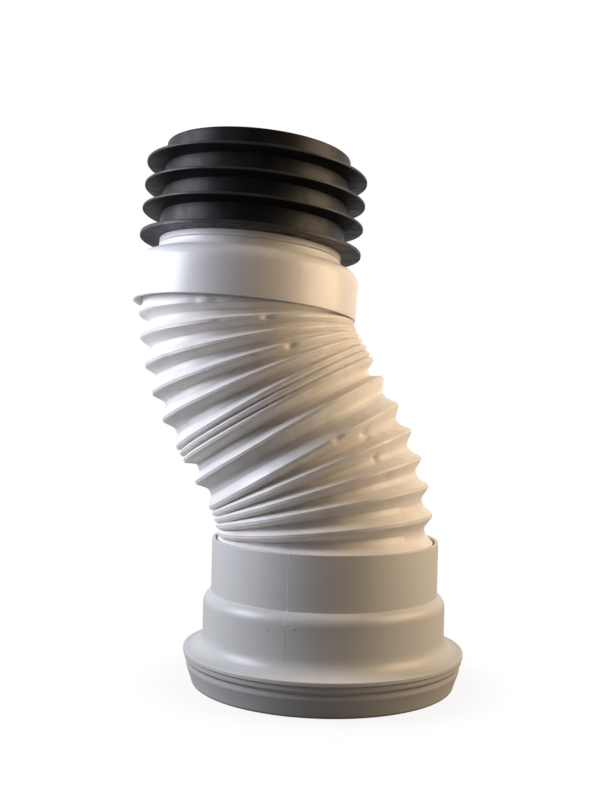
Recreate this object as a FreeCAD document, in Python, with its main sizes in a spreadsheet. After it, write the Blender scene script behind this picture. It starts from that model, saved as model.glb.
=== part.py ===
# Flexible toilet pan connector: a bell with its pan seal, a folded flexible tube bent sideways, and a
# spigot with a finned rubber sleeve. Millimetres, +Z up along the bell's axis, origin at the centre of
# the pan seal's resting face. The tube swings towards -X and leans a little towards +Y.
import FreeCAD, Part
import math
import os

import Sketcher

# Every driving size, by name. All the round pieces take their radii from the tube's crest radius. Bell
# and pan seal heights are above the resting face. Spigot and sleeve heights are above the skirt's lower
# edge, along the spigot's own axis.
SIZES = {
    # bell: flange, wide section, shoulder and collar
    "flange_lip": 3.6,
    "flange_edge_low": 15.7,
    "flange_edge_high": 18.2,
    "flange_round": 5.0,
    "flange_slope_width": 6.0,
    "flange_slope_low": 24.0,
    "flange_bore_top": 25.6,
    "shoulder_step": 3.9,
    "section_foot": 27.6,
    "section_top": 39.5,
    "bell_wall": 2.2,
    "shoulder_round": 7.0,
    "collar_gap": 0.7,
    "collar_foot": 45.8,
    "collar_wall": 1.8,
    "rim_height": 72.5,
    "cuff_seat": 48.0,
    "cuff_seat_width": 2.9,
    # pan seal: body, groove, band, sleeve and gripping lips
    "seal_inset": 1.9,
    "seal_round": 4.0,
    "groove_depth": 0.8,
    "groove_low": 12.0,
    "groove_high": 12.8,
    "band_inset": 1.4,
    "fit_clearance": 0.1,
    "slope_clearance": 0.5,
    "mouth_radius": 54.5,
    "mouth_length": 8.0,
    "seal_sleeve_wall": 2.4,
    "seal_sleeve_top": 38.0,
    "lip_count": 3,
    "lip_pitch": 9.0,
    "lip_first": 10.0,
    "lip_radius": 46.0,
    "lip_rise": 4.0,
    "lip_root": 2.0,
    "lip_tip": 1.2,
    # folded tube: folds, wall and cuffs
    "crest_radius": 54.8,
    "flank": 8.6,
    "tube_wall": 0.7,
    "fold_shut": 3.15,
    "fold_pinched": 3.7,
    "fold_half": 10.9,
    "fold_part": 12.7,
    "fold_open": 14.7,
    "fold_wide": 15.6,
    "fold_slip": 0.6,
    "first_crest": 71.1,
    "lean_step": 2.0,
    "cuff_wall": 2.0,
    "end_valley": 4.6,
    "end_valley_depth": 5.5,
    "end_cuff": 9.0,
    # spigot: skirt, shoulder, neck and tube
    "skirt_gap": 0.8,
    "skirt_overlap": 6.5,
    "skirt_straight": 18.5,
    "skirt_round": 8.0,
    "spigot_wall": 1.6,
    "neck_flare": 1.7,
    "neck_step_width": 0.5,
    "neck_step": 30.4,
    "neck_width": 1.5,
    "seal_seat": 33.0,
    "spigot_inset": 9.7,
    "spigot_tube_wall": 2.3,
    "spigot_top": 80.7,
    # finned sleeve
    "sleeve_wall": 2.5,
    "sleeve_top": 82.4,
    "end_fin_thickness": 2.2,
    "fin_count": 3,
    "fin_pitch": 12.1,
    "fin_reach": 8.9,
    "fin_root": 2.2,
    "fin_tip": 1.2,
    "fin_droop": 1.0,
}

# Crest spacings at the left and right of each kind of fold, and the folds from the bell upward.
FAN_RIGHT = ("fold_shut", "fold_open")
FAN_LEFT = ("fold_open", "fold_shut")
OPEN = ("fold_open", "fold_wide")
PART_OPEN = ("fold_part", "fold_half")
PINCHED = ("fold_pinched", "fold_pinched")
TURN_BACK = ("fold_wide", "fold_pinched")
LAST = ("fold_part", "fold_pinched")
SWINGING_FOLDS = [FAN_RIGHT] * 5 + [OPEN, PART_OPEN, PINCHED, PINCHED]
RETURNING_FOLDS = [TURN_BACK] + [FAN_LEFT] * 3 + [LAST] * 2
FOLDS = SWINGING_FOLDS + RETURNING_FOLDS
LEANING_FOLDS = 2
# how deep the last fold, which goes into the skirt, is beside the others
LAST_FOLD_SHARE = 0.45

SAME_POINT = 0.001
LEFT_TURN = 1
X_AXIS = FreeCAD.Vector(1, 0, 0)
Y_AXIS = FreeCAD.Vector(0, 1, 0)
Z_AXIS = FreeCAD.Vector(0, 0, 1)


class Length:
    """A size in mm together with the sheet expression that gives it."""

    def __init__(self, value, text):
        self.value = value
        self.text = text

    def __add__(self, other):
        return Length(self.value + other.value, f"({self.text} + {other.text})")

    def __sub__(self, other):
        return Length(self.value - other.value, f"({self.text} - {other.text})")

    def __mul__(self, times):
        return Length(self.value * times, f"({self.text} * {times})")


doc = FreeCAD.newDocument("pan_connector")
sheet = doc.addObject("Spreadsheet::Sheet", "sizes")
for row, (name, number) in enumerate(SIZES.items(), start=1):
    sheet.set(f"A{row}", name)
    sheet.set(f"B{row}", str(number))
    sheet.setAlias(f"B{row}", name)
doc.recompute()


def size(name):
    """The size of this name, read from the sheet and bound to it."""
    return Length(float(sheet.get(name)), f"sizes.{name}")


ZERO = Length(0.0, "0")
COLLAR_RADIUS = size("crest_radius") + size("collar_gap") + size("collar_wall")
SECTION_RADIUS = COLLAR_RADIUS + size("shoulder_step")
FLANGE_SLOPE_RADIUS = SECTION_RADIUS + size("flange_slope_width")
FLANGE_RADIUS = FLANGE_SLOPE_RADIUS + size("flange_lip")
SKIRT_RADIUS = size("crest_radius") + size("skirt_gap") + size("spigot_wall")
SPIGOT_RADIUS = size("crest_radius") - size("spigot_inset")


def pin_point(sketch, edge, end, radius, height):
    """Hold one end of a profile edge at a radius and a height that follow the sheet."""
    index = sketch.addConstraint(Sketcher.Constraint("DistanceX", -1, 1, edge, end, radius.value))
    sketch.setExpression(f"Constraints[{index}]", radius.text)
    if height is ZERO:
        sketch.addConstraint(Sketcher.Constraint("PointOnObject", edge, end, -1))
        return
    index = sketch.addConstraint(Sketcher.Constraint("DistanceY", -1, 1, edge, end, height.value))
    sketch.setExpression(f"Constraints[{index}]", height.text)


def arc_between(start, end, radius, turn):
    """The short arc of this radius from start to end; turn is its sense as the outline runs."""
    along = end - start
    half = along.Length / 2
    reach = math.sqrt(max(radius * radius - half * half, 0.0))
    side = FreeCAD.Vector(-along.y, along.x, 0).normalize() * turn
    centre = (start + end) * 0.5 + side * reach
    return Part.Arc(start, centre - side * radius, end)


def turned(label, outline):
    """A body turned about Z. Each outline entry is (radius, height), or (radius, height, arc radius,
    turn) where an arc runs from it to the next entry."""
    body = doc.addObject("PartDesign::Body", label)
    body.Label = label
    sketch = body.newObject("Sketcher::SketchObject", f"{label}_profile")
    plane = next(item for item in body.Origin.OriginFeatures if item.Role == "XZ_Plane")
    sketch.AttachmentSupport = [(plane, "")]
    sketch.MapMode = "FlatFace"
    points = [FreeCAD.Vector(entry[0].value, entry[1].value, 0) for entry in outline]
    ends = []
    for place, entry in enumerate(outline):
        start = points[place]
        end = points[(place + 1) % len(points)]
        if len(entry) == 4:
            sketch.addGeometry(arc_between(start, end, entry[2].value, entry[3]), False)
        else:
            sketch.addGeometry(Part.LineSegment(start, end), False)
        forward = sketch.Geometry[place].StartPoint.distanceToPoint(start) < SAME_POINT
        ends.append((1, 2) if forward else (2, 1))
    for place, entry in enumerate(outline):
        following = (place + 1) % len(outline)
        joint = Sketcher.Constraint("Coincident", place, ends[place][1], following, ends[following][0])
        sketch.addConstraint(joint)
        pin_point(sketch, place, ends[place][0], entry[0], entry[1])
    for place, entry in enumerate(outline):
        if len(entry) == 4:
            index = sketch.addConstraint(Sketcher.Constraint("Radius", place, entry[2].value))
            sketch.setExpression(f"Constraints[{index}]", entry[2].text)
    revolution = body.newObject("PartDesign::Revolution", f"{label}_turned")
    revolution.Profile = sketch
    revolution.ReferenceAxis = (sketch, ["V_Axis"])
    revolution.Angle = 360
    return body


def make_socket():
    """The bell: flange with a turned-down edge, wide section, shoulder and collar with the cuff seat."""
    flange_bore = FLANGE_RADIUS - size("bell_wall")
    section_bore = SECTION_RADIUS - size("bell_wall")
    collar_bore = COLLAR_RADIUS - size("collar_wall")
    seat_bore = collar_bore - size("cuff_seat_width")
    inner_round = size("shoulder_round") - size("bell_wall")
    inner_top = size("section_top") + inner_round
    slope_inner = size("flange_slope_low") - size("bell_wall")
    return turned("socket", [
        (FLANGE_RADIUS, size("flange_edge_low")),
        (FLANGE_RADIUS, size("flange_edge_high"), size("flange_round"), LEFT_TURN),
        (FLANGE_SLOPE_RADIUS, size("flange_slope_low")),
        (SECTION_RADIUS, size("section_foot")),
        (SECTION_RADIUS, size("section_top"), size("shoulder_round"), LEFT_TURN),
        (COLLAR_RADIUS, size("collar_foot")),
        (COLLAR_RADIUS, size("rim_height")),
        (collar_bore, size("rim_height")),
        (collar_bore, size("cuff_seat")),
        (seat_bore, size("cuff_seat")),
        (seat_bore, inner_top),
        (section_bore, size("section_top")),
        (section_bore, size("flange_bore_top")),
        (FLANGE_SLOPE_RADIUS, slope_inner),
        (flange_bore, size("flange_edge_high")),
        (flange_bore, size("flange_edge_low")),
    ])


def make_pan_seal():
    """The soft seal: resting body, groove and band under the flange, sleeve and lips inside the bell."""
    seal_radius = FLANGE_RADIUS - size("seal_inset")
    groove_radius = seal_radius - size("groove_depth")
    band_radius = FLANGE_RADIUS - size("band_inset")
    flange_bore = FLANGE_RADIUS - size("bell_wall") - size("fit_clearance")
    sleeve_radius = SECTION_RADIUS - size("bell_wall") - size("fit_clearance")
    sleeve_bore = sleeve_radius - size("seal_sleeve_wall")
    slope_inner = size("flange_slope_low") - size("bell_wall") - size("slope_clearance")
    sleeve_foot = size("flange_bore_top") - size("slope_clearance")
    outline = [
        (seal_radius - size("seal_round"), ZERO, size("seal_round"), LEFT_TURN),
        (seal_radius, size("seal_round")),
        (seal_radius, size("groove_low")),
        (groove_radius, size("groove_low")),
        (groove_radius, size("groove_high")),
        (band_radius, size("groove_high")),
        (band_radius, size("flange_edge_low")),
        (flange_bore, size("flange_edge_low")),
        (flange_bore, size("flange_edge_high") - size("fit_clearance")),
        (FLANGE_SLOPE_RADIUS, slope_inner),
        (sleeve_radius, sleeve_foot),
        (sleeve_radius, size("seal_sleeve_top")),
        (sleeve_bore, size("seal_sleeve_top")),
    ]
    for number in reversed(range(int(size("lip_count").value))):
        root = size("lip_first") + size("lip_pitch") * number
        tip = root + size("lip_rise")
        outline.append((sleeve_bore, root + size("lip_root")))
        outline.append((size("lip_radius"), tip + size("lip_tip")))
        outline.append((size("lip_radius"), tip))
        outline.append((sleeve_bore, root))
    outline.append((sleeve_bore, size("mouth_length")))
    outline.append((size("mouth_radius"), size("mouth_length")))
    outline.append((size("mouth_radius"), ZERO))
    return turned("pan_seal", outline)


def make_spigot():
    """The spigot: a skirt over the tube's end, a rounded shoulder, a flared neck and the outlet tube."""
    skirt_bore = SKIRT_RADIUS - size("spigot_wall")
    shoulder_radius = SKIRT_RADIUS - size("skirt_round")
    shoulder_top = size("skirt_straight") + size("skirt_round")
    neck_radius = SPIGOT_RADIUS + size("neck_width")
    throat_radius = neck_radius - size("neck_step_width")
    neck_foot_radius = throat_radius + size("neck_flare")
    tube_bore = SPIGOT_RADIUS - size("spigot_tube_wall")
    neck_bore = neck_foot_radius - size("spigot_tube_wall")
    return turned("spigot", [
        (SKIRT_RADIUS, ZERO),
        (SKIRT_RADIUS, size("skirt_straight"), size("skirt_round"), LEFT_TURN),
        (shoulder_radius, shoulder_top),
        (neck_foot_radius, shoulder_top),
        (throat_radius, size("neck_step")),
        (neck_radius, size("neck_step")),
        (neck_radius, size("seal_seat")),
        (SPIGOT_RADIUS, size("seal_seat")),
        (SPIGOT_RADIUS, size("spigot_top")),
        (tube_bore, size("spigot_top")),
        (tube_bore, size("neck_step")),
        (neck_bore, shoulder_top - size("spigot_wall")),
        (shoulder_radius, shoulder_top - size("spigot_wall")),
        (skirt_bore, size("skirt_straight")),
        (skirt_bore, ZERO),
    ])


def make_fin_seal():
    """The rubber sleeve: a thick end fin on the neck's step, thin drooping fins, and a turned-in end."""
    bore = SPIGOT_RADIUS + size("fit_clearance")
    end_bore = SPIGOT_RADIUS - size("spigot_tube_wall")
    sleeve_radius = SPIGOT_RADIUS + size("sleeve_wall")
    fin_radius = sleeve_radius + size("fin_reach")
    half_root = size("fin_root") * 0.5
    half_tip = size("fin_tip") * 0.5
    end_fin_top = size("seal_seat") + size("end_fin_thickness")
    outline = [
        (bore, size("seal_seat")),
        (fin_radius, size("seal_seat")),
        (fin_radius, end_fin_top),
        (sleeve_radius, end_fin_top),
    ]
    for number in range(1, int(size("fin_count").value) + 1):
        edge = size("seal_seat") + half_tip + size("fin_pitch") * number
        root = edge + size("fin_droop")
        outline.append((sleeve_radius, root - half_root))
        outline.append((fin_radius, edge - half_tip))
        outline.append((fin_radius, edge + half_tip))
        outline.append((sleeve_radius, root + half_root))
    outline.append((sleeve_radius, size("sleeve_top")))
    outline.append((end_bore, size("sleeve_top")))
    outline.append((end_bore, size("spigot_top") + size("fit_clearance")))
    outline.append((bore, size("spigot_top") + size("fit_clearance")))
    return turned("fin_seal", outline)


def attitude(tilt, lean):
    """The turn of a crest: tilt lifts its right side, lean lifts its near side, both in degrees."""
    return FreeCAD.Rotation(X_AXIS, -lean) * FreeCAD.Rotation(Y_AXIS, -tilt)


class Fold:
    """The valley between two crests, open by a different amount at its left and its right."""

    def __init__(self, left, right, share=1.0):
        self.spacing = (left + right) / 2
        self.turn = math.degrees(math.asin((right - left) / (2 * size("crest_radius").value)))
        self.depths = (self.depth(left) * share, self.depth(right) * share)
        self.skins = (self.skin(left), self.skin(right))

    def depth(self, spacing):
        """How deep the flanks, whose length never changes, reach at this spacing."""
        return math.sqrt(size("flank").value ** 2 - (spacing / 2) ** 2)

    def skin(self, spacing):
        """How far inward the inner skin runs at this spacing, for a wall of even thickness."""
        return size("tube_wall").value * size("flank").value / (spacing / 2)


def ring(skin, frame, inset_left, inset_right):
    """Add a circle to a skin, inset from the crest radius by its own amount at the left and right."""
    circle = doc.addObject("Part::Circle", "ring")
    circle.Radius = size("crest_radius").value - (inset_left + inset_right) / 2
    shift = X_AXIS * ((inset_left - inset_right) / 2)
    circle.Placement = frame.multiply(FreeCAD.Placement(shift, FreeCAD.Rotation()))
    skin.append(circle)


def raised(frame, height):
    """The same frame moved along its own axis."""
    return frame.multiply(FreeCAD.Placement(Z_AXIS * height, FreeCAD.Rotation()))


def make_bellows():
    """The folded tube with its two cuffs, and the frame of its last crest, which carries the spigot."""
    folds = [Fold(size(left).value, size(right).value) for left, right in FOLDS[:-1]]
    left, right = FOLDS[-1]
    folds.append(Fold(size(left).value, size(right).value, LAST_FOLD_SHARE))
    outer = []
    inner = []
    crest = FreeCAD.Placement(Z_AXIS * size("first_crest").value, FreeCAD.Rotation())
    tilt = 0.0
    lean = 0.0

    collar_bore = size("crest_radius").value + size("collar_gap").value
    seat_drop = size("cuff_seat").value - size("first_crest").value
    add_cuff(outer, inner, crest, collar_bore, seat_drop, -1)
    before = folds[0]
    for place, fold in enumerate(folds):
        add_crest(outer, inner, crest, before, fold)
        lean_turn = size("lean_step").value if place < LEANING_FOLDS else 0.0
        slip = 0.0 if place < len(SWINGING_FOLDS) else size("fold_slip").value
        middle_turn = attitude(tilt + fold.turn / 2, lean + lean_turn / 2)
        half_way = middle_turn.multVec((Z_AXIS * fold.spacing - X_AXIS * slip) * 0.5)
        valley = FreeCAD.Placement(crest.Base + half_way, middle_turn)
        ring(outer, valley, fold.depths[0], fold.depths[1])
        ring(inner, valley, fold.depths[0] + fold.skins[0], fold.depths[1] + fold.skins[1])
        tilt += fold.turn
        lean += lean_turn
        crest = FreeCAD.Placement(valley.Base + half_way, attitude(tilt, lean))
        before = fold
    add_crest(outer, inner, crest, before, before)
    skirt_bore = size("crest_radius").value + size("skirt_gap").value
    skirt_rise = size("skirt_straight").value - size("skirt_overlap").value
    add_cuff(outer, inner, crest, skirt_bore, skirt_rise, 1)

    outer_skin = loft("bellows_outer", outer)
    inner_skin = loft("bellows_inner", inner)
    bellows = doc.addObject("Part::Cut", "bellows")
    bellows.Label = "bellows"
    bellows.Base = outer_skin
    bellows.Tool = inner_skin
    return bellows, crest


def add_crest(outer, inner, crest, below, above):
    """One crest: a full circle outside, and inside it the mean of what its two folds ask for."""
    ring(outer, crest, 0.0, 0.0)
    ring(inner, crest, (below.skins[0] + above.skins[0]) / 2, (below.skins[1] + above.skins[1]) / 2)


def add_cuff(outer, inner, crest, bore, end, way):
    """The cuff in a bore and the valley between it and the end crest; way is 1 above, -1 below."""
    crest_radius = size("crest_radius").value
    wall = size("cuff_wall").value
    cuff_inset = crest_radius - bore + size("fit_clearance").value
    valley_inset = size("end_valley_depth").value
    valley = raised(crest, size("end_valley").value * way)
    cuff_start = raised(crest, size("end_cuff").value * way)
    rows = [(raised(crest, end), cuff_inset, raised(crest, end + wall * way), cuff_inset + wall),
            (cuff_start, cuff_inset, cuff_start, cuff_inset + wall),
            (valley, valley_inset, valley, valley_inset + wall)]
    if way > 0:
        rows.reverse()
    for outer_frame, outer_inset, inner_frame, inner_inset in rows:
        ring(outer, outer_frame, outer_inset, outer_inset)
        ring(inner, inner_frame, inner_inset, inner_inset)


def loft(name, sections):
    """A solid with straight flanks from circle to circle."""
    result = doc.addObject("Part::Loft", name)
    result.Sections = sections
    result.Solid = True
    result.Ruled = True
    return result


os.makedirs("parts", exist_ok=True)
bellows, last_crest = make_bellows()
spigot_frame = raised(last_crest, -size("skirt_overlap").value)
spigot = make_spigot()
spigot.Placement = spigot_frame
fin_seal = make_fin_seal()
fin_seal.Placement = spigot_frame
parts = [make_socket(), make_pan_seal(), bellows, spigot, fin_seal]
doc.recompute()
for item in doc.Objects:
    if "Invalid" in item.State or "Error" in item.State:
        raise RuntimeError(f"{item.Label} failed: {item.State}")
for part in parts:
    if part.Shape.isNull() or not part.Shape.isValid():
        raise RuntimeError(f"{part.Label} has no valid shape")
    print(part.Label, len(part.Shape.Solids), "solid", round(part.Shape.Volume / 1000, 2), "ml")
    part.Shape.exportStep(f"parts/{part.Label}.step")
print("spigot frame", spigot_frame.Base, spigot_frame.Rotation.multVec(Z_AXIS))
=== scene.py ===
"""The dressed pan connector: moulded bell, pan seal, folded tube, outlet spigot and finned sleeve.

Sizes in the classes are millimetres; meshes are made in metres, in the part's own frame.
"""
from __future__ import annotations

import logging
import math
from dataclasses import dataclass, field
from enum import Enum

import bmesh
import bpy
import numpy as np
from mathutils import Matrix, Vector

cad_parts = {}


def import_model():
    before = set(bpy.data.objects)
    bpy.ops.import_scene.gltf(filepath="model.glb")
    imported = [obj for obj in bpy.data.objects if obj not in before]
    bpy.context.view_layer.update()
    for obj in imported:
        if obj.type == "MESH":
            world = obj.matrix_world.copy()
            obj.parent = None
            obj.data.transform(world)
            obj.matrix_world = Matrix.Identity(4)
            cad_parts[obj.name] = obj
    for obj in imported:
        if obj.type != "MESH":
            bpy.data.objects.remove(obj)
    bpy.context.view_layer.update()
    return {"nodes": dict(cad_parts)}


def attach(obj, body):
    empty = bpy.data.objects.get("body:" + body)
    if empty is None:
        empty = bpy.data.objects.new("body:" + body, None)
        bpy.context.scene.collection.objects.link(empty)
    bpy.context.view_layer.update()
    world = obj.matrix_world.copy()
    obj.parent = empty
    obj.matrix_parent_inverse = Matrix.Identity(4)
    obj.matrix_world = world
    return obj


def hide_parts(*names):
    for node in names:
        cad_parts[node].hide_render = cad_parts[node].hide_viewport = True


LOG = logging.getLogger("pan_connector")
MM = 0.001
BODY = "root"
SIDES = 232
CREASE = 42.0
CLOUD_ROUGHNESS = 0.55
# A rounded corner: its points, its greatest share of a side, and the points that hold it.
CORNER_POINTS = 5
CORNER_SHARE = 0.42
HOLD = 1.6
HOLD_ROOM = 4

Triple = tuple[float, float, float]
Faces = list[list[int]]
Socket = bpy.types.NodeSocket
Mesh = bpy.types.Mesh
Material = bpy.types.Material

WHITE: Triple = (1.0, 1.0, 1.0)


class Slot(Enum):
    """The record's material slots."""

    SHELL = "white_shell"
    TUBE = "white_tube"
    SEAL = "pale_seal"
    RUBBER = "black_rubber"


class Opening(Enum):
    """How far apart two crests stand at one side of a fold, in mm."""

    SHUT = 3.15
    PINCHED = 3.7
    HALF = 10.9
    PART = 12.7
    OPEN = 14.7
    WIDE = 15.6


# Node graphs.


class Signal:
    """A number in a node graph that takes part in Python sums."""

    def __init__(self, graph: Graph, socket: Socket) -> None:
        """Keep the socket and the graph that it belongs to."""
        self.graph = graph
        self.socket = socket

    def maths(self, operation: str, *others: Signal | float, clamp: bool = False) -> Signal:
        """Join this number with others by a Math node, whose result may stay between 0 and 1."""
        settings = {"operation": operation, "use_clamp": clamp}
        return self.graph.value("ShaderNodeMath", settings, dict(enumerate((self, *others))))

    def reflected(self, operation: str, first: float) -> Signal:
        """Join a plain number, as the first input, with this one."""
        return self.graph.value("ShaderNodeMath", {"operation": operation}, {0: first, 1: self})

    def __add__(self, other: Signal | float) -> Signal:
        """Sum."""
        return self.maths("ADD", other)

    __radd__ = __add__

    def __sub__(self, other: Signal | float) -> Signal:
        """Difference."""
        return self.maths("SUBTRACT", other)

    def __rsub__(self, other: float) -> Signal:
        """Difference from a plain number."""
        return self.reflected("SUBTRACT", other)

    def __mul__(self, other: Signal | float) -> Signal:
        """Product."""
        return self.maths("MULTIPLY", other)

    __rmul__ = __mul__

    def __truediv__(self, other: Signal | float) -> Signal:
        """Quotient."""
        return self.maths("DIVIDE", other)

    def __abs__(self) -> Signal:
        """Size without sign."""
        return self.maths("ABSOLUTE")

    def least(self, other: Signal | float) -> Signal:
        """The smaller of two numbers."""
        return self.maths("MINIMUM", other)

    def between(self, low: float, high: float) -> Signal:
        """Rise smoothly from 0 to 1.

        Args:
            low: The value that gives 0; it may be the larger one.
            high: The value that gives 1.

        Returns:
            A mask from 0 to 1.
        """
        span = {"Value": self, "From Min": min(low, high), "From Max": max(low, high)}
        smooth = {"interpolation_type": "SMOOTHSTEP"}
        mask = self.graph.value("ShaderNodeMapRange", smooth, span, "Result")
        return 1.0 - mask if low > high else mask


class Graph:
    """One node tree, in which nodes are made by type, settings and inputs."""

    def __init__(self, tree: bpy.types.NodeTree) -> None:
        """Keep the tree and empty it."""
        self.tree = tree
        self.tree.nodes.clear()

    def node(
        self, kind: str, settings: dict | None = None, values: dict | None = None
    ) -> bpy.types.Node:
        """Add a node.

        Args:
            kind: The node's type name.
            settings: Properties that are set first, such as a Math node's operation.
            values: Inputs by name or place: a plain value, a socket or a signal.

        Returns:
            The node.
        """
        made = self.tree.nodes.new(kind)
        for name, setting in (settings or {}).items():
            setattr(made, name, setting)
        for key, value in (values or {}).items():
            if isinstance(value, Signal):
                value = value.socket
            if isinstance(value, Socket):
                self.tree.links.new(value, made.inputs[key])
            else:
                made.inputs[key].default_value = value
        return made

    def value(self, kind: str, settings: dict, values: dict, output: int | str = 0) -> Signal:
        """Add a node and take one of its outputs as a number."""
        return Signal(self, self.node(kind, settings, values).outputs[output])

    def attribute(self, name: str) -> Signal:
        """A number kept on the piece's own vertices."""
        return self.value("ShaderNodeAttribute", {"attribute_name": name}, {}, "Fac")

    def ray(self, kind: str) -> Signal:
        """1 where a light path is of this kind."""
        return self.value("ShaderNodeLightPath", {}, {}, f"Is {kind} Ray")

    def place(self) -> Socket:
        """The point's own coordinates in metres."""
        return self.node("ShaderNodeTexCoord").outputs["Object"]

    def dot(self, first: Socket, second: Triple) -> Signal:
        """How far a vector reaches along a direction."""
        settings = {"operation": "DOT_PRODUCT"}
        return self.value("ShaderNodeVectorMath", settings, {0: first, 1: second}, "Value")

    def noise(
        self,
        scale: float,
        detail: float = 2.0,
        stretch: Triple = (1.0, 1.0, 1.0),
        shift: Triple = (0.0, 0.0, 0.0),
        distortion: float = 0.0,
    ) -> Signal:
        """Cloudy variation over the surface.

        Args:
            scale: Clouds in a metre.
            detail: Finer layers.
            stretch: Scale by axis.
            shift: Offset, so that two clouds differ.
            distortion: How far the clouds swirl.

        Returns:
            A number round 0.5.
        """
        mapping = {"Vector": self.place(), "Scale": stretch, "Location": shift}
        values = {"Vector": self.node("ShaderNodeMapping", {}, mapping).outputs[0], "Scale": scale}
        values |= {"Detail": detail, "Roughness": CLOUD_ROUGHNESS, "Distortion": distortion}
        return self.value("ShaderNodeTexNoise", {}, values, "Fac")

    def blend(
        self, mask: Signal | float, first: Socket | Triple, second: Socket | Triple
    ) -> Socket:
        """Mix two colours.

        Args:
            mask: 0 for the first, 1 for the second.
            first: A colour.
            second: A colour.

        Returns:
            The mixed colour.
        """
        colours = [c if isinstance(c, Socket) else (*c, 1.0) for c in (first, second)]
        values = {0: mask, 6: colours[0], 7: colours[1]}
        return self.node("ShaderNodeMix", {"data_type": "RGBA"}, values).outputs[2]


class TreeForm:
    """A form that a geometry tree makes, with the form's own sizes as the tree's named inputs."""

    lengths: tuple[str, ...] = ()
    numbers: tuple[str, ...] = ()

    def sizes(self) -> dict[str, float | int]:
        """The named inputs' values, such as "Tip radius".

        Returns:
            Lengths in metres and plain numbers, in the order of the fields.
        """
        units = [(name, MM) for name in self.lengths] + [(name, 1) for name in self.numbers]
        named = [(name.replace("_", " ").capitalize(), name, unit) for name, unit in units]
        return {key: getattr(self, name) * unit for key, name, unit in named}

    def wire(self, graph: Graph, size: dict[str, Signal], geometry: Socket) -> Socket:
        """Add the form's own nodes, and give what they make of the geometry that comes in."""
        raise NotImplementedError

    def grow(self, mesh: Mesh, name: str, material: Material) -> Mesh:
        """Build the tree and run a mesh through it.

        Args:
            mesh: What goes in.
            name: The tree's name.
            material: The finish.

        Returns:
            The plain mesh that comes out.
        """
        values = {**self.sizes(), "Material": material}
        tree = bpy.data.node_groups.new(name, "GeometryNodeTree")
        for way in ("INPUT", "OUTPUT"):
            tree.interface.new_socket("Geometry", in_out=way, socket_type="NodeSocketGeometry")
        kinds = {int: "NodeSocketInt", float: "NodeSocketFloat"}
        for key, value in values.items():
            kind = kinds.get(type(value), "NodeSocketMaterial")
            tree.interface.new_socket(key, in_out="INPUT", socket_type=kind)
        graph = Graph(tree)
        given = graph.node("NodeGroupInput").outputs
        size = {key: Signal(graph, given[key]) for key in self.sizes()}
        wired = self.wire(graph, size, given["Geometry"])
        real = graph.node("GeometryNodeRealizeInstances", {}, {0: wired})
        dressing = {"Geometry": real.outputs[0], "Material": given["Material"]}
        dressed = graph.node("GeometryNodeSetMaterial", {}, dressing)
        graph.node("NodeGroupOutput", {}, {0: dressed.outputs[0]})
        bearer = bpy.data.objects.new(f"{mesh.name}_bearer", mesh)
        bpy.context.collection.objects.link(bearer)
        modifier = bearer.modifiers.new(name, "NODES")
        modifier.node_group = tree
        inputs = [item for item in tree.interface.items_tree if item.in_out == "INPUT"]
        ids = {item.name: item.identifier for item in inputs}
        for key, value in values.items():
            modifier[ids[key]] = value
        ready = bearer.evaluated_get(bpy.context.evaluated_depsgraph_get())
        made = bpy.data.meshes.new_from_object(ready)
        bpy.data.objects.remove(bearer)
        return made


# Finishes.


def new_material(name: str) -> tuple[Material, Graph]:
    """Add an empty material.

    Args:
        name: The material's name.

    Returns:
        The material and its graph.
    """
    material = bpy.data.materials.new(name)
    material.use_nodes = True
    return material, Graph(material.node_tree)


@dataclass(frozen=True)
class Surface:
    """What every finish shares: a principled shader, its constants, and relief by bump."""

    name: str
    relief: float = 0.1
    refraction: float = 1.5
    specular: float = 0.5
    coat: float = 0.0
    coat_roughness: float = 0.17
    glow: float = 0.0
    glow_depth: float = 3.0
    glow_tint: Triple = (1.0, 0.95, 0.9)

    def look(self, graph: Graph) -> tuple[Socket, Signal, Signal]:
        """The base colour, the roughness and the relief from 0 to 1."""
        raise NotImplementedError

    def build(self) -> Material:
        """Make the material.

        Returns:
            The material, with what the finish looks like joined to its shader.
        """
        material, graph = new_material(self.name)
        colour, roughness, height = self.look(graph)
        raised = {"Height": height, "Distance": self.relief * MM, "Strength": 1.0}
        bump = graph.node("ShaderNodeBump", {}, raised)
        values = {
            "Base Color": colour,
            "Roughness": roughness,
            "Normal": bump.outputs[0],
            "IOR": self.refraction,
            "Specular IOR Level": self.specular,
            "Coat Weight": self.coat,
            "Coat Roughness": self.coat_roughness,
            "Subsurface Weight": self.glow,
            "Subsurface Radius": self.glow_tint,
            "Subsurface Scale": self.glow_depth * MM,
        }
        shader = graph.node("ShaderNodeBsdfPrincipled", {}, values)
        graph.node("ShaderNodeOutputMaterial", {}, {"Surface": shader.outputs[0]})
        return material


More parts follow.
